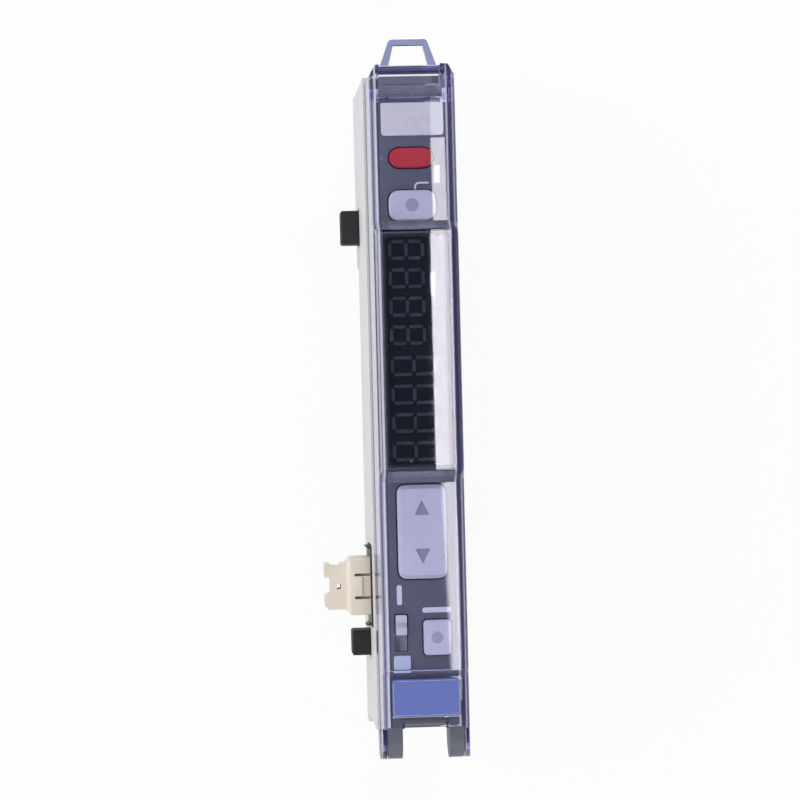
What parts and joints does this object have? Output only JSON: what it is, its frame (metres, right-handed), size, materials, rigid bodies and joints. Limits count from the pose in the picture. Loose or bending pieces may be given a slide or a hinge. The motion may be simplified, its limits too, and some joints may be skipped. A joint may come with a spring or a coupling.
{
  "type": "fibre optic sensor amplifier",
  "caption": "Slim rail-mounted fibre optic sensor amplifier with a hinged tinted dust cover over its digit display and keys.",
  "frame": {"origin": "middle of the face that sits on the mounting rail", "axes": "+Z out of the front panel, +Y along the body to the cable end, +X to the socket side"},
  "size_m": [0.0149, 0.0763, 0.0303],
  "materials": {
    "white_moulding": "fine matt moulded surface",
    "grey_moulding": "fine matt moulded surface",
    "tinted_clear": "clear with a light violet tint, polished",
    "smoked_clear": "dark smoked, polished",
    "display_face": "dark face with unlit segments",
    "red_lens": "diffusing red",
    "key_grey": "satin",
    "blue_plate": "printed film, satin",
    "pale_plate": "printed film, satin",
    "ivory_moulding": "satin",
    "black_moulding": "satin",
    "black_rubber": "matt",
    "board_green": "solder mask",
    "bright_steel": "plated",
    "brass_pin": "plated",
    "clear_diode": "clear epoxy"
  },
  "bodies": {
    "housing": {"rear_case": "white_moulding", "front_case": "grey_moulding", "name_plate": "pale_plate", "mark_plate": "pale_plate", "display_window": "smoked_clear", "display_module": "display_face", "indicator_lens": "red_lens", "main_board": "board_green", "display_board": "board_green", "board_connector": "black_moulding", "controller_chip": "black_moulding", "supply_capacitor": "bright_steel", "output_transistor": "black_moulding", "receiver_shield": "bright_steel", "indicator_led": "clear_diode", "set_switch": "black_moulding", "mode_switch": "black_moulding", "up_switch": "black_moulding", "down_switch": "black_moulding", "slide_switch": "bright_steel", "optical_block": "black_moulding", "emitter_led": "clear_diode", "receiver_diode": "clear_diode", "fibre_gripper": "black_rubber", "lever_pin": "bright_steel", "expansion_plug": "ivory_moulding", "plug_surround": "black_moulding", "contact_pin_1": "brass_pin", "contact_pin_2": "brass_pin", "contact_pin_3": "brass_pin", "contact_pin_4": "brass_pin", "expansion_socket": "black_moulding", "upper_side_peg": "black_rubber", "lower_side_peg": "black_rubber", "cable_grommet": "black_rubber"},
    "cover": {"dust_cover": "tinted_clear", "type_plate": "blue_plate"},
    "set_button": {"set_key": "key_grey"},
    "mode_button": {"mode_key": "key_grey"},
    "rocker": {"rocker_key": "key_grey"},
    "selector": {"selector_knob": "key_grey"},
    "lock_lever": {"fibre_lock_lever": "grey_moulding"}
  },
  "joints": [
    {"name": "cover_hinge", "type": "hinge", "parent": "housing", "child": "cover", "pos_m": [0, -0.0344, 0.0194], "axis": [1, 0, 0], "range_deg": [0, 110]},
    {"name": "set_key_press", "type": "slide", "parent": "housing", "child": "set_button", "axis": [0, 0, -1], "range_m": [0, 0.00035], "stiffness_N_per_m": 300, "springref_m": -0.0005},
    {"name": "mode_key_press", "type": "slide", "parent": "housing", "child": "mode_button", "axis": [0, 0, -1], "range_m": [0, 0.00035], "stiffness_N_per_m": 300, "springref_m": -0.0005},
    {"name": "rocker_tilt", "type": "hinge", "parent": "housing", "child": "rocker", "pos_m": [0, -0.01245, 0.0196], "axis": [1, 0, 0], "range_deg": [-1.8, 1.8], "stiffness_Nm_per_rad": 0.02},
    {"name": "selector_slide", "type": "slide", "parent": "housing", "child": "selector", "axis": [0, -1, 0], "range_m": [0, 0.00165]},
    {"name": "lever_swing", "type": "hinge", "parent": "housing", "child": "lock_lever", "pos_m": [0, -0.0327, 0.015], "axis": [-1, 0, 0], "range_deg": [0, 75]}
  ]
}
